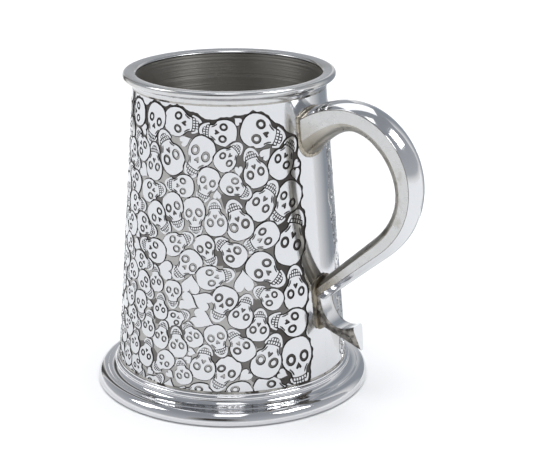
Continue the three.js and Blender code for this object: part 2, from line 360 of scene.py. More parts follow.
def triangulate(loops):
    """Cuts the unrolled drum along every loop. Gives its points, its triangles, which of those are ground,
    each point's draft, and the points along its edges."""
    us, vs = drum_steps()
    frame_loop = np.concatenate([
        np.stack([us[:-1], np.full(STEP_ANGLES, vs[0])], 1),
        np.stack([np.full(RISERS, us[-1]), vs[:-1]], 1),
        np.stack([us[:0:-1], np.full(STEP_ANGLES, vs[-1])], 1),
        np.stack([np.full(RISERS, us[0]), vs[:0:-1]], 1)])
    grid_u, grid_v = np.meshgrid(np.arange(GRID_U, WIDE - 2, GRID_U), np.arange(3.7, DRUM_TOP - 1, GRID_V))
    grid = np.stack([grid_u + 0.31 * np.sin(grid_v), grid_v], -1).reshape(-1, 2)
    points, faces, drafts = [frame_loop], [range(len(frame_loop))], [np.zeros(len(frame_loop))]
    kinds = ["raise"]
    count = len(frame_loop)
    for kind, loop, draft in loops:
        loop = subdivided(loop, LONGEST_EDGE)
        points.append(loop if loop_area(loop) > 0 else loop[::-1])
        faces.append(range(count, count + len(loop)))
        drafts.append(np.full(len(loop), draft))
        kinds.append(kind)
        count += len(loop)
    points.append(grid)
    points = np.concatenate(points)
    drafts = np.concatenate(drafts + [np.zeros(len(grid))])
    verts, _, tris, from_verts, _, from_faces = delaunay_2d_cdt(
        [Vector(p) for p in points], [], [list(f) for f in faces], 1, 1e-4, True)
    verts = np.array([v[:] for v in verts])
    keep = [i for i, owners in enumerate(from_faces) if 0 in owners]
    level = np.array([kinds[max(from_faces[i])] == "cut" for i in keep], int)
    tris = np.array([tris[i] for i in keep])
    draft = np.array([max((drafts[k] for k in owners), default=0.06) for owners in from_verts])
    border = {}
    for i, owners in enumerate(from_verts):
        for k in owners:
            if k < len(frame_loop):
                border[k] = i
    border = [border[k] for k in range(len(frame_loop))]
    return verts, tris, level, draft, border


def on_drum(u, v, depth=0.0):
    angle = u / MID_RADIUS
    radius = drum_radius(v) - depth
    return np.stack([radius * np.cos(angle), radius * np.sin(angle), v], -1)


def ground_tone(u, v):
    """2 for the darkest patina, to 4 for the palest: painted shade darkens the ground near the pattern's top,
    under the lip, and near its near side, over patches of the patina's own uneven tone. 6 is pale ground,
    painted as the reflection on the drum's far side.
    """
    from_side = WIDE - u - PANEL_HALF_ANGLE * MID_RADIUS
    from_top = PATTERN_TOP - v
    patches = (np.sin(0.21 * u + 1.3 * np.sin(0.13 * v)) + np.sin(0.31 * v + 0.17 * u + 2)) / 2
    # Painted shade: the ground is darkened under the lip near the pattern's top and near its near side. The
    # patches are the patina's own uneven tone.
    dark = np.exp(-(from_side / 17) ** 2) + np.exp(-(from_top / 9) ** 2) + 0.3 * patches
    tone = np.where(dark > 0.55, 2, np.where(dark > 0.12, 3, 4))
    # Slot 6 on the far side: pale ground painted as a reflection.
    return np.where(u < PAINTED_REFLECTION_WIDTH, 6, tone)


def drum_mesh():
    """The drum's points, faces and face slots: 0 polished, 1 wall, 2 to 4 ground, 5 inside, 6 ground and
    walls painted pale as a reflection.
    """
    verts, tris, level, draft, border = triangulate(pattern_loops())
    a, b, c = (verts[tris[:, k]] for k in range(3))
    area = (b[:, 0] - a[:, 0]) * (c[:, 1] - a[:, 1]) - (c[:, 0] - a[:, 0]) * (b[:, 1] - a[:, 1])
    tris[area < 0] = tris[area < 0][:, ::-1]
    side = {}
    for t, (p, q, r) in enumerate(tris):
        side[p, q] = side[q, r] = side[r, p] = t
    walls = np.array([(p, q) for (p, q), t in side.items()
                      if level[t] == 0 and level[side.get((q, p), t)] == 1])
    push = np.zeros((len(verts), 2))
    step = verts[walls[:, 1]] - verts[walls[:, 0]]
    outward = np.stack([step[:, 1], -step[:, 0]], 1)
    outward /= np.linalg.norm(outward, axis=1, keepdims=True) + 1e-9
    np.add.at(push, walls[:, 0], outward)
    np.add.at(push, walls[:, 1], outward)
    push /= np.linalg.norm(push, axis=1, keepdims=True) + 1e-9
    foot = verts + push * draft[:, None]
    ground = tris[level == 1]
    used = np.unique(ground)
    low = np.full(len(verts), -1)
    low[used] = len(verts) + np.arange(len(used))
    grid_u, grid_v = np.meshgrid(*drum_steps(), indexing="ij")
    points = np.concatenate([on_drum(verts[:, 0], verts[:, 1]), on_drum(foot[used, 0], foot[used, 1], RELIEF),
                             on_drum(grid_u.ravel(), grid_v.ravel(), WALL)])
    first = len(verts) + len(used)

    def bore(i, j):
        return first + i * (RISERS + 1) + j

    faces = tris[level == 0].tolist()
    slots = [0] * len(faces)
    faces += low[ground].tolist()
    middle = verts[ground].mean(1)
    slots += ground_tone(middle[:, 0], middle[:, 1]).tolist()
    faces += np.stack([walls[:, 0], low[walls[:, 0]], low[walls[:, 1]], walls[:, 1]], 1).tolist()
    # The walls on the far side are painted pale too, as the same reflection.
    slots += np.where(verts[walls[:, 0], 0] < PAINTED_REFLECTION_WIDTH, 6, 1).tolist()
    for i in range(STEP_ANGLES):
        for j in range(RISERS):
            faces.append([bore(i, j), bore(i, j + 1), bore(i + 1, j + 1), bore(i + 1, j)])
            slots.append(5)
    right_at = STEP_ANGLES
    top_at = right_at + RISERS
    left_at = top_at + STEP_ANGLES
    bottom = border[:right_at + 1]
    top = [border[left_at]] + border[left_at - 1:top_at - 1:-1]
    right = border[right_at:top_at + 1]
    left = [border[0]] + border[:left_at - 1:-1]
    for i in range(STEP_ANGLES):
        faces.append([top[i], top[i + 1], bore(i + 1, RISERS), bore(i, RISERS)])
        faces.append([bottom[i], bore(i, 0), bore(i + 1, 0), bottom[i + 1]])
    for j in range(RISERS):
        faces.append([right[j], bore(STEP_ANGLES, j), bore(STEP_ANGLES, j + 1), right[j + 1]])
        faces.append([left[j], left[j + 1], bore(0, j + 1), bore(0, j)])
    slots += [0] * (2 * STEP_ANGLES + 2 * RISERS)
    return points, faces, np.array(slots)


def engraved_drum(metals):
    """The drum, shaded as a true cone everywhere but on the pattern's walls."""
    points, faces, slots = drum_mesh()
    obj = new_object("drum_engraved", points * MM, faces, metals, slots)
    mesh = obj.data
    corner = np.zeros(len(mesh.loops), np.int32)
    mesh.loops.foreach_get("vertex_index", corner)
    counts = np.zeros(len(mesh.polygons), np.int32)
    mesh.polygons.foreach_get("loop_total", counts)
    flat = np.zeros(len(mesh.polygons) * 3, np.float32)
    mesh.polygons.foreach_get("normal", flat)
    normal = np.repeat(flat.reshape(-1, 3), counts, 0).astype(float)
    owner = np.repeat(slots, counts)
    at = points[corner]
    cone = np.stack([at[:, 0], at[:, 1], TAPER * np.hypot(at[:, 0], at[:, 1])], 1)
    cone /= np.linalg.norm(cone, axis=1, keepdims=True)
    curved = (owner != 1) & (np.abs(np.sum(normal * cone, 1)) > 0.9)
    facing = np.sign(np.sum(normal * cone, 1))[:, None]
    normal[curved] = (cone * facing)[curved]
    mesh.polygons.foreach_set("use_smooth", np.ones(len(mesh.polygons), bool))
    mesh.normals_split_custom_set(normal.tolist())
    return finish_piece(obj, "drum")


# ---- turned pieces ----
def curve(start, control, end, count=10):
    """Points on a quadratic curve, without its start."""
    t = (np.arange(count) + 1)[:, None] / count
    p, q, r = (np.asarray(x, float) for x in (start, control, end))
    return ((1 - t) ** 2 * p + 2 * t * (1 - t) * q + t ** 2 * r).tolist()


def softened(outline, radius):
    """The closed outline with each sharp corner cut by a small arc."""
    p = np.asarray(outline, float)
    out = []
    for before, here, after in zip(np.roll(p, 1, 0), p, np.roll(p, -1, 0)):
        a, b = before - here, after - here
        la, lb = np.linalg.norm(a), np.linalg.norm(b)
        if math.degrees(math.acos(np.clip(-a @ b / (la * lb), -1, 1))) < 18:
            out.append(here)
            continue
        cut = min(radius, la * 0.4, lb * 0.4)
        s, e = here + a / la * cut, here + b / lb * cut
        out += [s, 0.25 * s + 0.5 * here + 0.25 * e, e]
    return np.array(out)


def turned(name, outline, materials, segments=240, radius=0.12, slot_of=None):
    """A closed outline of (radius, height) in mm, turned about Z."""
    p = softened(outline, radius)
    n = len(p)
    a = np.arange(segments) * 2 * math.pi / segments
    points = np.stack([np.outer(np.cos(a), p[:, 0]), np.outer(np.sin(a), p[:, 0]),
                       np.broadcast_to(p[:, 1], (segments, n))], -1).reshape(-1, 3)
    faces = []
    for i in range(segments):
        k = (i + 1) % segments
        for j in range(n):
            m = (j + 1) % n
            faces.append([i * n + j, k * n + j, k * n + m, i * n + m])
    slots = None
    if slot_of:
        middle = (p + np.roll(p, -1, 0)) / 2
        slots = [slot_of(*middle[j]) for j in range(n)] * segments
    obj = new_object(name, points * MM, faces, materials, slots)
    if p[:, 0].min() < 0.01:
        close_axis(obj)
    return smooth(obj)


def close_axis(obj):
    merge = bmesh.new()
    merge.from_mesh(obj.data)
    bmesh.ops.remove_doubles(merge, verts=merge.verts, dist=0.001 * MM)
    merge.to_mesh(obj.data)
    merge.free()


def smooth(obj, angle=25):
    obj.data.polygons.foreach_set("use_smooth", np.ones(len(obj.data.polygons), bool))
    obj.data.set_sharp_from_angle(angle=math.radians(angle))
    return obj


def lip_outline():
    """The lip ring from its collar, out round its bead, and in over the mouth to its seat on the drum."""
    seat = DRUM_TOP + FIT
    mouth = bore_radius(DRUM_TOP)
    collar = drum_radius(LIP_BOTTOM) + 0.45
    r, h = LIP_RADIUS, HEIGHT
    collar_top, bead_foot = (collar + 0.02, LIP_BOTTOM + 0.5), (r - 1.4, h - 2.8)
    return ([(drum_radius(LIP_BOTTOM) + FIT, LIP_BOTTOM), (collar, LIP_BOTTOM), collar_top]
            + curve(collar_top, (collar + 0.3, h - 3), bead_foot)
            + curve(bead_foot, (r - 0.1, h - 2.5), (r, h - 1.5))
            + curve((r, h - 1.5), (r, h), (r - 1.4, h))
            + [(mouth + 0.6, h - 0.25), (mouth, h - 0.85), (mouth, seat), (drum_radius(seat) + FIT, seat)])


def foot_outline():
    """The foot ring from its flat rest, up over its quarter round and hollow, to its collar."""
    collar = drum_radius(FOOT_TOP) + 0.5
    r = FOOT_RADIUS
    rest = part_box("foot_ring")[0].z / MM
    hollow_low, neck, shoulder = (r - 4.1, 5.8), (collar + 0.7, 7.7), (collar + 0.3, 9.1)
    return ([(47, rest), (r - 0.7, rest), (r, 0.9), (r, 1.8)]
            + curve((r, 1.8), (r - 0.5, 5), (r - 3.9, 5.4), 18) + [hollow_low]
            + curve(hollow_low, (collar + 1.1, 6.2), neck, 14) + curve(neck, (collar + 1, 8.6), shoulder, 8)
            + [(collar, 9.2), (collar, FOOT_TOP - 0.15), (collar - 0.15, FOOT_TOP),
               (drum_radius(FOOT_TOP) + FIT, FOOT_TOP), (drum_radius(DRUM_BOTTOM) + FIT, DRUM_BOTTOM),
               (46.6, DRUM_BOTTOM)])


def base_outline():
    """The disc from its axis: flat below, with shallow turned rings above."""
    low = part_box("base_disc")[0].z / MM
    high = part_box("base_disc")[1].z / MM
    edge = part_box("base_disc")[1].x / MM
    rings = np.arange(edge - 0.8, 0.7, -1.4)
    return ([(0, low), (edge, low), (edge, high - 0.03)]
            + [(r, high - (0.03 if k % 2 else 0.0)) for k, r in enumerate(rings)] + [(0, high)])


def fillet_outline(leg=1.2):
    """The solder in the corner between the base disc and the wall."""
    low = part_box("base_disc")[1].z / MM + FIT
    wall = bore_radius(low) - FIT
    toe, tip = (wall - leg, low), (bore_radius(low + leg) - FIT, low + leg)
    return [toe, (wall, low), tip] + curve(tip, (wall - 0.2, low + 0.2), toe, 8)[:-1]


def bead_outline(against, away, out=0.35):
    """A thin run of solder in the corner between the drum and a ring."""
    def wall(z):
        return drum_radius(z) + FIT
    outline = [(wall(against), against), (wall(against) + out, against)]
    outline += curve(outline[-1], (wall(against) + 0.12, (against + away) / 2), (wall(away), away), 5)
    return outline if away > against else outline[::-1]


def solder_run(node, outline, material, uneven=0.0):
    """A turned run of solder whose outer face swells and thins round the drum."""
    obj = turned(node + "_run", outline, [material], radius=0.05)
    for vertex in obj.data.vertices:
        x, y, z = vertex.co / MM
        out = math.hypot(x, y) - drum_radius(z) - FIT
        angle = math.atan2(y, x)
        wave = math.sin(9 * angle + 3 * math.sin(5 * angle)) + 0.6 * math.sin(41 * angle + 1)
        if out > 0.06:
            shift = 1 - uneven * (1 + wave / 1.6) * out / math.hypot(x, y)
            vertex.co.x *= shift
            vertex.co.y *= shift
    return finish_piece(obj, node)


# ---- materials ----
def ramp(nodes, links, source, low, high, start, end):
    """A node that maps source from start..end to low..high."""
    node = nodes.new("ShaderNodeMapRange")
    node.inputs["From Min"].default_value = start
    node.inputs["From Max"].default_value = end
    node.inputs["To Min"].default_value = low
    node.inputs["To Max"].default_value = high
    links.new(source, node.inputs["Value"])
    return node.outputs["Result"]


def metal(name, color, rough, grain=(90, 90, 90), spread=0.04, bump=0.0, stain=None, stain_scale=120,
          stain_range=(0.55, 0.72), stain_near=(), lines=None):
    """Pewter. grain stretches the noise that varies roughness and bump, per metre on each axis. stain is a
    second colour that shows in patches, and round each of the stain_near spots: (x, y, z, reach) in mm.
    lines varies them in turned marks instead: rings this many per metre along Z and radius."""
    material = bpy.data.materials.new(name)
    material.use_nodes = True
    nodes, links = material.node_tree.nodes, material.node_tree.links
    shader = nodes["Principled BSDF"]
    shader.inputs["Metallic"].default_value = 1
    shader.inputs["Base Color"].default_value = (*color, 1)
    where = nodes.new("ShaderNodeTexCoord").outputs["Object"]
    stretch = nodes.new("ShaderNodeVectorMath")
    stretch.operation = "MULTIPLY"
    stretch.inputs[1].default_value = grain
    links.new(where, stretch.inputs[0])
    noise = nodes.new("ShaderNodeTexNoise")
    noise.inputs["Scale"].default_value = 1
    noise.inputs["Detail"].default_value = 5
    links.new(stretch.outputs[0], noise.inputs["Vector"])
    height = noise.outputs["Fac"]
    if lines:
        split = nodes.new("ShaderNodeSeparateXYZ")
        links.new(where, split.inputs[0])
        length = nodes.new("ShaderNodeVectorMath")
        length.operation = "LENGTH"
        flat = nodes.new("ShaderNodeCombineXYZ")
        links.new(split.outputs["X"], flat.inputs["X"])
        links.new(split.outputs["Y"], flat.inputs["Y"])
        links.new(flat.outputs[0], length.inputs[0])
        ring = nodes.new("ShaderNodeCombineXYZ")
        links.new(length.outputs["Value"], ring.inputs["X"])
        links.new(split.outputs["Z"], ring.inputs["Z"])
        turned_marks = nodes.new("ShaderNodeTexNoise")
        turned_marks.inputs["Scale"].default_value = lines
        turned_marks.inputs["Detail"].default_value = 3
        links.new(ring.outputs[0], turned_marks.inputs["Vector"])
        height = turned_marks.outputs["Fac"]
    roughness = ramp(nodes, links, height, rough - spread, rough + spread, 0.3, 0.7)
    links.new(roughness, shader.inputs["Roughness"])
    if bump:
        relief = nodes.new("ShaderNodeBump")
        relief.inputs["Strength"].default_value = 1
        relief.inputs["Distance"].default_value = bump * MM
        links.new(height, relief.inputs["Height"])
        links.new(relief.outputs["Normal"], shader.inputs["Normal"])
    if stain:
        patches = nodes.new("ShaderNodeTexNoise")
        patches.inputs["Scale"].default_value = stain_scale
        patches.inputs["Detail"].default_value = 6
        links.new(where, patches.inputs["Vector"])
        mix = nodes.new("ShaderNodeMix")
        mix.data_type = "RGBA"
        amount = ramp(nodes, links, patches.outputs["Fac"], 0, 1, *stain_range)
        for x, y, z, reach in stain_near:
            away = nodes.new("ShaderNodeVectorMath")
            away.operation = "DISTANCE"
            away.inputs[1].default_value = (x * MM, y * MM, z * MM)
            links.new(where, away.inputs[0])
            spot = nodes.new("ShaderNodeMath")
            spot.operation = "MULTIPLY"
            fading = ramp(nodes, links, away.outputs["Value"], 1, 0, 0.3 * reach * MM, reach * MM)
            links.new(fading, spot.inputs[0])
            links.new(ramp(nodes, links, patches.outputs["Fac"], 0.6, 1, 0.35, 0.55), spot.inputs[1])
            most = nodes.new("ShaderNodeMath")
            most.operation = "MAXIMUM"
            links.new(amount, most.inputs[0])
            links.new(spot.outputs[0], most.inputs[1])
            amount = most.outputs[0]
        links.new(amount, mix.inputs["Factor"])
        mix.inputs["A"].default_value = (*color, 1)
        mix.inputs["B"].default_value = (*stain, 1)
        links.new(mix.outputs["Result"], shader.inputs["Base Color"])
    return material


# ---- handle ----
def bezier(a, b, c, d, t):
    t = np.asarray(t)[..., None]
    a, b, c, d = (np.asarray(x, float) for x in (a, b, c, d))
    return a * (1 - t) ** 3 + 3 * b * t * (1 - t) ** 2 + 3 * c * t ** 2 * (1 - t) + d * t ** 3


def chain(curves):
    """A line made of curves that share the parameter equally. Two points make a straight one."""
    def point(t):
        scaled = np.clip(t, 0, 1) * len(curves)
        index = np.minimum(scaled.astype(int), len(curves) - 1)
        out = np.zeros((len(t), 2))
        for k, controls in enumerate(curves):
            mine = index == k
            if len(controls) == 2:
                a, b = (np.asarray(x, float) for x in controls)
                out[mine] = a + (b - a) * (scaled[mine] - k)[:, None]
            else:
                out[mine] = bezier(*controls, scaled[mine] - k)
        return out
    return point


grip_outer = chain([[(33, 109.3), (40, 115.3), (47, 117.5), (54, 117.5)],
                    [(54, 117.5), (70, 117.5), (83.4, 103.5), (83.4, 87.5)],
                    [(83.4, 87.5), (83.4, 78), (79.5, 69.1), (70, 61.3)], [(70, 61.3), (40, 36.7)]])
grip_inner = chain([[(33, 90.2), (39.5, 96.5), (47.5, 106.6), (56, 106.6)],
                    [(56, 106.6), (64.5, 106.6), (73.9, 95.5), (73.9, 85.5)],
                    [(73.9, 85.5), (73.9, 79.5), (71, 73.5), (64.9, 67.9)], [(64.9, 67.9), (36.7, 42.3)]])
tail_top = chain([[(43, 46), (43.5, 35.5), (47.5, 27.5), (57.6, 32.1)]])
tail_bottom = chain([[(36, 38), (39, 30.5), (48, 29.5), (59.8, 22.7)]])
GRIP_WIDTHS = [7.1, 6.2, 5.5, 5.1, 4.9]
GRIP_DOME = 2.3
GRIP_STEPS, TAIL_STEPS = 150, 60
SOLDER_FINENESS = 0.4         # the solder follows the handle in fewer steps
ROOT_SPLIT = 75               # a height between the two roots


def spline(values, t):
    """Catmull-Rom through evenly spaced values, with its ends held."""
    v = np.array([values[0], *values, values[-1]])
    scaled = np.clip(t, 0, 1) * (len(values) - 1)
    i = np.minimum(scaled.astype(int), len(values) - 2)
    f = scaled - i
    a, b, c, d = v[i], v[i + 1], v[i + 2], v[i + 3]
    return b + 0.5 * f * (c - a + f * (2 * a - 5 * b + 4 * c - d + f * (3 * (b - c) + d - a)))


def grip_half_width(t, y):
    flare = np.clip(1 - t / 0.16, 0, 1)
    return (spline(GRIP_WIDTHS, t) + 1.6 * flare ** 2)[:, None] * np.ones_like(y)[None, :]


def tail_half_width(t, y):
    step = np.clip((t - 0.94) / 0.06, 0, 1)
    top = 4.7 - t ** 2 - step ** 2 * (3 - 2 * step) * 0.7
    keel = 0.95 + (0.27 - 0.95) * t ** 3
    return top[:, None] * (keel[:, None] + (1 - keel[:, None]) * np.clip(y / 0.85, 0, 1)[None, :])


def grip_section():
    """Half section from the inner middle to the dome's top, with its face slots: 0 dome, 1 side, 2 inside and
    5 edge."""
    inner = [(0, 0)] + curve((0, 0), (0.86, -0.01), (1, 0.44), 14)
    side = [(1, 0.6), (1, 0.8), (1, 0.97), (0.995, 1.0)]
    dome = curve((0.985, 1.012), (0, 3), (-0.985, 1.012), 40)[:20]
    return inner + side + [(0.985, 1.012)] + dome, [2] * 14 + [1] * 3 + [5] + [0] * 21


def tail_section():
    """Half section from the middle of the underside to the top's, with its face slots: 3 skin, 0 top."""
    lower = [(0, 0), (0.4, 0), (0.7, 0)] + curve((0.7, 0), (1, 0), (1, 0.15), 6)
    upper = [(1, 0.4), (1, 0.65), (1, 0.85)] + curve((1, 0.85), (1, 1), (0.8, 1), 6)
    return lower + upper + [(0.4, 1), (0, 1)], [3] * 17 + [0] * 2


def swept(name, section, outer, inner, half_width, dome, steps, grow, materials):
    """A solid whose section follows the inner and outer lines, made larger all round by grow."""
    half, slots = section
    half = np.array(half, float)
    right, left = half, half[1:-1][::-1] * (-1, 1)
    ring = np.concatenate([right, left])
    ring_slots = slots + slots[::-1]
    t = np.linspace(0, 1, steps + 1)
    out, inn = outer(t), inner(t)
    across = out - inn
    length = np.linalg.norm(across, axis=1)
    unit = across / length[:, None]
    flat = length - dome + 2 * grow
    y = ring[:, 1]
    depth = np.clip(y, -1, 1)[None, :] * flat[:, None] + np.clip(y - 1, 0, 1)[None, :] * dome
    at = inn[:, None, :] + unit[:, None, :] * (depth - grow)[:, :, None]
    width = ring[:, 0][None, :] * (half_width(t, y) + grow)
    points = np.stack([at[..., 0], width, at[..., 1]], -1).reshape(-1, 3)
    n = len(ring)
    faces, face_slots = [], []
    for i in range(steps):
        for j in range(n):
            k = (j + 1) % n
            faces.append([i * n + j, i * n + k, (i + 1) * n + k, (i + 1) * n + j])
            face_slots.append(ring_slots[j])
    faces += [list(range(n))[::-1], [steps * n + j for j in range(n)]]
    face_slots += [4, 4]
    obj = new_object(name, points * MM, faces, materials, face_slots)
    repair = bmesh.new()
    repair.from_mesh(obj.data)
    bmesh.ops.recalc_face_normals(repair, faces=repair.faces)
    repair.to_mesh(obj.data)
    repair.free()
    return obj


def cone(clearance, materials=()):
    """A solid that follows the drum's outside."""
    low, high = -10, HEIGHT + 10
    sides = 360                   # one per degree
    a = np.arange(sides) * math.pi / 180
    ring = np.stack([np.cos(a), np.sin(a)], 1)
    points = [(*p, z) for z in (low, high) for p in (ring * (drum_radius(z) + clearance)).tolist()]
    faces = [[i, (i + 1) % sides, sides + (i + 1) % sides, sides + i] for i in range(sides)]
    faces += [list(range(sides))[::-1], list(range(sides, 2 * sides))]
    return new_object("cutter", np.array(points) * MM, faces, materials)


def combine(obj, other, operation):
    """Joins or cuts obj by other, which is then gone."""
    modifier = obj.modifiers.new("cut", "BOOLEAN")
    modifier.operation = operation
    modifier.solver = "EXACT"
    modifier.object = other
    apply(obj)
    bpy.data.objects.remove(other)
    return obj


def apply(obj):
    graph = bpy.context.evaluated_depsgraph_get()
    mesh = bpy.data.meshes.new_from_object(obj.evaluated_get(graph))
    obj.modifiers.clear()
    obj.data = mesh


def handle_body(name, grow, materials, fine=1.0):
    """Grip and tail as one solid. fine scales how many steps they are swept in."""
    grip = swept(name, grip_section(), grip_outer, grip_inner, grip_half_width, GRIP_DOME,
                 int(GRIP_STEPS * fine), grow, materials)
    tail = swept("tail", tail_section(), tail_top, tail_bottom, tail_half_width, 0, int(TAIL_STEPS * fine),
                 grow, materials)
    return combine(grip, tail, "UNION")


def seam_strip(material):
    """The solder that fills the rolled sheet's seam, worked flush with both faces."""
    half = SEAM_HALF + 0.02
    points = [(radius * math.cos(side * half / radius), radius * math.sin(side * half / radius), z)
              for z in (DRUM_BOTTOM, DRUM_TOP)
              for radius in (drum_radius(z), bore_radius(z))
              for side in (-1, 1)]
    faces = [[0, 1, 5, 4], [3, 2, 6, 7], [2, 0, 4, 6], [1, 3, 7, 5], [0, 2, 3, 1], [4, 5, 7, 6]]
    obj = new_object("seam_flush", np.array(points) * MM, faces, [material])
    return finish_piece(obj, "seam_solder")


def handle(materials):
    """The casting, cut to the drum and kept inside the CAD box."""
    obj = handle_body("handle_cast", 0, materials)
    combine(obj, cone(-0.04, materials), "DIFFERENCE")
    for vertex in obj.data.vertices:
        vertex.co.x = min(vertex.co.x, cad_box[1][0])
    smooth(obj, 14)
    return finish_piece(obj, "handle")


def root_solder(node, upper, width, height, material):
    """The bead of solder round one root of the handle, melted smooth. width is how far it reaches past the
    handle, and height how far out from the drum."""
    obj = handle_body(node + "_bead", width, [material], SOLDER_FINENESS)
    combine(obj, cone(height), "INTERSECT")
    combine(obj, cone(-0.05), "DIFFERENCE")
    combine(obj, handle_body("core", -0.05, [material], SOLDER_FINENESS), "DIFFERENCE")
    half = bpy.data.meshes.new("half")
    box = bmesh.new()
    bmesh.ops.create_cube(box, size=1)
    size = Vector((120, 60, ROOT_SPLIT)) * MM
    middle = Vector((60, 0, ROOT_SPLIT * (1.5 if upper else 0.5))) * MM
    box.transform(Matrix.Translation(middle) @ Matrix.Diagonal((*size, 1)))
    box.to_mesh(half)
    box.free()
    keep = bpy.data.objects.new("half", half)
    bpy.context.scene.collection.objects.link(keep)
    combine(obj, keep, "INTERSECT")
    remesh = obj.modifiers.new("remesh", "REMESH")
    remesh.mode = "VOXEL"
    remesh.voxel_size = 0.16 * MM
    soften = obj.modifiers.new("soften", "SMOOTH")
    soften.factor = 0.5
    soften.iterations = 5
    apply(obj)
    obj.data.materials.clear()
    obj.data.materials.append(material)
    smooth(obj, 60)
    return finish_piece(obj, node)


# ---- the object ----
polished = metal("pewter_polished", (0.635, 0.64, 0.655), 0.1, spread=0.03)
wall_metal = metal("patina_wall", (0.03, 0.028, 0.026), 0.45, grain=(900, 900, 900))
# The dark and mid ground tones are patina with painted shade on it, near the pattern's top and near side.
dark_ground_painted_shade = metal("patina_dark_painted_shade", (0.075, 0.069, 0.065), 0.42, grain=(900, 900, 900), spread=0.1)
mid_ground_painted_shade = metal("patina_mid_painted_shade", (0.16, 0.153, 0.147), 0.4, grain=(900, 900, 900), spread=0.1)
ground_pale = metal("patina_pale", (0.4, 0.392, 0.38), 0.38, grain=(900, 900, 900), spread=0.1)
brushed = metal("pewter_brushed", (0.55, 0.53, 0.495), 0.38, spread=0.14, lines=1700, bump=0.1)
brushed_shader = brushed.node_tree.nodes["Principled BSDF"]
brushed_shader.inputs["Anisotropic"].default_value = 0.8
brushed_shader.inputs["Anisotropic Rotation"].default_value = 0.25
along_brush = brushed.node_tree.nodes.new("ShaderNodeTangent")
along_brush.direction_type = "RADIAL"
along_brush.axis = "Z"
brushed.node_tree.links.new(along_brush.outputs[0], brushed_shader.inputs["Tangent"])
# Pale ground and walls on the drum's far side: a painted reflection.
painted_reflection_ground = metal("pale_ground_painted_reflection", (0.42, 0.42, 0.42), 0.25, grain=(900, 900, 900), spread=0.1)
engraved_drum([polished, wall_metal, dark_ground_painted_shade, mid_ground_painted_shade, ground_pale, brushed, painted_reflection_ground])

lip_metal = metal("pewter_lip", (0.58, 0.58, 0.585), 0.17, lines=3000, spread=0.05, stain=(0.45, 0.43, 0.39),
                  stain_scale=60, stain_range=(0.5, 0.75))
foot_metal = metal("pewter_foot", (0.68, 0.68, 0.695), 0.07, lines=2200, spread=0.03)
finish_piece(turned("lip_turned", lip_outline(), [lip_metal]), "lip_ring")
finish_piece(turned("foot_turned", foot_outline(), [foot_metal], 300), "foot_ring")

dome = metal("handle_polished", (0.66, 0.665, 0.68), 0.1, spread=0.04)
ROOTS = [(37.5, 0, 99, 14), (43, 0, 40, 22)]   # (x, y, z, reach) of the stained spots, in mm
flank = metal("handle_satin", (0.54, 0.54, 0.535), 0.25, grain=(400, 400, 400), spread=0.05, bump=0.03,
              stain=(0.27, 0.235, 0.18), stain_scale=150, stain_range=(0.64, 0.9), stain_near=ROOTS)
inside_curve = metal("handle_inner", (0.44, 0.42, 0.38), 0.3, grain=(300, 300, 300),
                     stain=(0.19, 0.165, 0.125), stain_scale=160, stain_range=(0.55, 0.8), stain_near=ROOTS)
edge = metal("handle_edge", (0.16, 0.15, 0.14), 0.35, grain=(900, 900, 900), spread=0.08)
cast = metal("handle_cast_skin", (0.33, 0.31, 0.28), 0.34, grain=(900, 900, 900), bump=0.25, spread=0.1,
             stain=(0.12, 0.11, 0.1), stain_scale=420, stain_range=(0.45, 0.6))
handle([dome, flank, inside_curve, cast, dome, edge])
solder = metal("solder_bead", (0.4, 0.365, 0.305), 0.3, grain=(700, 700, 700), bump=0.1, spread=0.08,
               stain=(0.1, 0.09, 0.08), stain_scale=260, stain_range=(0.56, 0.7))
root_solder("handle_upper_solder", True, 1.05, 0.62, solder)
solder_low = metal("solder_low", (0.27, 0.24, 0.19), 0.36, grain=(700, 700, 700), bump=0.1, spread=0.08,
                   stain=(0.08, 0.07, 0.06), stain_scale=260, stain_range=(0.56, 0.7))
root_solder("handle_lower_solder", False, 1.5, 0.8, solder_low)
seam_strip(polished)
flux = metal("solder_run", (0.4, 0.385, 0.36), 0.32, grain=(700, 700, 700), bump=0.12, spread=0.1,
             stain=(0.05, 0.045, 0.04), stain_scale=150, stain_range=(0.54, 0.62))
solder_run("lip_solder", bead_outline(LIP_BOTTOM - FIT, LIP_BOTTOM - FIT - 0.75), flux, 0.45)
solder_run("foot_solder", bead_outline(FOOT_TOP + FIT, FOOT_TOP + FIT + 0.75), flux, 0.45)
solder_run("base_solder", fillet_outline(), flux)
finish_piece(turned("base_turned", base_outline(), [brushed]), "base_disc")

# ---- camera ----
CAMERA_AT = Vector((336.4, -463.1, 246.6)) * MM
CAMERA_HEADING = math.radians(124.625)
CAMERA_PITCH = math.radians(18.19)
CAMERA_ROLL = math.radians(-0.277)
CAMERA_LENS = 104.99          # on a 36 mm wide sensor

ahead = Vector((math.cos(CAMERA_HEADING) * math.cos(CAMERA_PITCH),
                math.sin(CAMERA_HEADING) * math.cos(CAMERA_PITCH), -math.sin(CAMERA_PITCH)))
level_right = Vector((math.sin(CAMERA_HEADING), -math.cos(CAMERA_HEADING), 0))
level_up = level_right.cross(ahead)
right = level_right * math.cos(CAMERA_ROLL) + level_up * math.sin(CAMERA_ROLL)
up = level_up * math.cos(CAMERA_ROLL) - level_right * math.sin(CAMERA_ROLL)
camera = bpy.data.objects.new("camera", bpy.data.cameras.new("camera"))
camera.data.lens = CAMERA_LENS
camera.data.sensor_width = 36
camera.matrix_world = Matrix((right, up, -ahead)).transposed().to_4x4()
camera.location = CAMERA_AT
bpy.context.scene.collection.objects.link(camera)
bpy.context.scene.camera = camera

# ---- floor and light ----
FLOOR_HALF = 4                # m


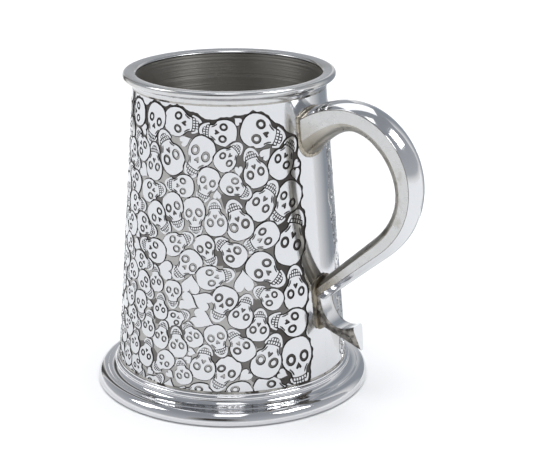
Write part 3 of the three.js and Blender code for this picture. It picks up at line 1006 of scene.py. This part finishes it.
def matt(name, color):
    material = bpy.data.materials.new(name)
    material.use_nodes = True
    shader = material.node_tree.nodes["Principled BSDF"]
    shader.inputs["Base Color"].default_value = (*color, 1)
    shader.inputs["Roughness"].default_value = 0.9
    shader.inputs["Specular IOR Level"].default_value = 0.1
    return material


floor_corners = [(x * FLOOR_HALF, y * FLOOR_HALF, 0) for x, y in ((-1, -1), (1, -1), (1, 1), (-1, 1))]
floor = new_object("floor", floor_corners, [[0, 1, 2, 3]], [matt("floor", (0.9, 0.9, 0.9))])


def board(name, corners, shade, rim):
    """A flat board that only shows in reflections. Its tone fades to the rim's at its two upright edges."""
    material = matt(name, (0, 0, 0))
    nodes, links = material.node_tree.nodes, material.node_tree.links
    across = nodes.new("ShaderNodeSeparateXYZ")
    links.new(nodes.new("ShaderNodeUVMap").outputs[0], across.inputs[0])
    tones = nodes.new("ShaderNodeValToRGB")
    tones.color_ramp.elements[0].color = (*rim, 1)
    tones.color_ramp.elements[1].color = (*rim, 1)
    for position in (0.35, 0.65):
        tones.color_ramp.elements.new(position).color = (*shade, 1)
    links.new(across.outputs["X"], tones.inputs[0])
    shader = nodes["Principled BSDF"]
    links.new(tones.outputs[0], shader.inputs["Emission Color"])
    shader.inputs["Emission Strength"].default_value = 1
    obj = new_object(name, corners, [[0, 1, 2, 3]], [material])
    obj.data.uv_layers.new(name="across").data.foreach_set("uv", [0, 0, 1, 0, 1, 1, 0, 1])
    obj.visible_camera = obj.visible_diffuse = obj.visible_shadow = False


def card(name, azimuth, distance, width, low, high, shade, rim=(1, 1, 1)):
    """An upright board that faces the object, in metres."""
    a = math.radians(azimuth)
    middle = Vector((math.cos(a), math.sin(a), 0)) * distance
    across = Vector((-math.sin(a), math.cos(a), 0)) * width / 2
    corners = [middle - across, middle + across]
    board(name, [corners[0] + Vector((0, 0, low)), corners[1] + Vector((0, 0, low)),
                 corners[1] + Vector((0, 0, high)), corners[0] + Vector((0, 0, high))], shade, rim)


def wedge(name, start, end, near, far, shade):
    """A board that lies on the floor between two azimuths, in metres."""
    a, b = math.radians(start), math.radians(end)
    corners = [(r * math.cos(t), r * math.sin(t), MM) for r, t in ((near, a), (near, b), (far, b), (far, a))]
    board(name, corners, shade, (1, 1, 1))


card("card_left", 161, 0.5, 0.17, 0.0, 0.7, (0.08, 0.08, 0.08))
card("card_right", 78, 0.19, 0.25, 0.0, 0.3, (0.34, 0.37, 0.41))
wedge("wedge_right", 44, 112, 0.07, 0.19, (0.34, 0.37, 0.41))
card("card_front", 292, 0.7, 0.62, 0.14, 0.42, (0.06, 0.056, 0.05), (0.5, 0.5, 0.5))


def softbox(name, azimuth, elevation, distance, width, height, watts):
    """A light for the metal's highlights alone: the wash below lights the floor evenly."""
    light = bpy.data.lights.new(name, "AREA")
    light.shape = "RECTANGLE"
    light.size, light.size_y, light.energy = width, height, watts
    box = bpy.data.objects.new(name, light)
    a, e = math.radians(azimuth), math.radians(elevation)
    away = Vector((math.cos(a) * math.cos(e), math.sin(a) * math.cos(e), math.sin(e)))
    box.location = away * distance + Vector((0, 0, 0.06))
    box.rotation_euler = away.to_track_quat("Z", "Y").to_euler()
    box.visible_camera = box.visible_diffuse = False
    bpy.context.scene.collection.objects.link(box)


softbox("key", 10, 48, 1.1, 0.42, 0.34, 4.5)
softbox("fill", 215, 40, 1.2, 0.4, 0.5, 3)
softbox("front", 300, 70, 1.2, 0.35, 0.6, 1.3)
softbox("top", 125, 62, 1.2, 0.8, 0.7, 2.2)
wash = bpy.data.objects.new("wash", bpy.data.lights.new("wash", "SUN"))
wash.data.energy = 2.85
wash.data.angle = math.radians(70)
wash.visible_glossy = False
bpy.context.scene.collection.objects.link(wash)

world = bpy.data.worlds.new("studio")
world.use_nodes = True
bpy.context.scene.world = world
sky_nodes, sky_links = world.node_tree.nodes, world.node_tree.links
direction = sky_nodes.new("ShaderNodeTexCoord").outputs["Generated"]
split = sky_nodes.new("ShaderNodeSeparateXYZ")
sky_links.new(direction, split.inputs[0])
tones = sky_nodes.new("ShaderNodeValToRGB")
tones.color_ramp.elements[0].position = 0.02
tones.color_ramp.elements[0].color = (1.0, 1.0, 1.0, 1)
tones.color_ramp.elements[1].position = 0.85
tones.color_ramp.elements[1].color = (0.34, 0.36, 0.39, 1)
for position, tone in ((0.14, (0.52, 0.54, 0.57, 1)), (0.5, (0.44, 0.46, 0.49, 1))):
    tones.color_ramp.elements.new(position).color = tone
sky_links.new(split.outputs["Z"], tones.inputs[0])
sky_links.new(tones.outputs[0], sky_nodes["Background"].inputs["Color"])
sky_nodes["Background"].inputs["Strength"].default_value = 1.0
bpy.context.scene.view_settings.view_transform = "Standard"
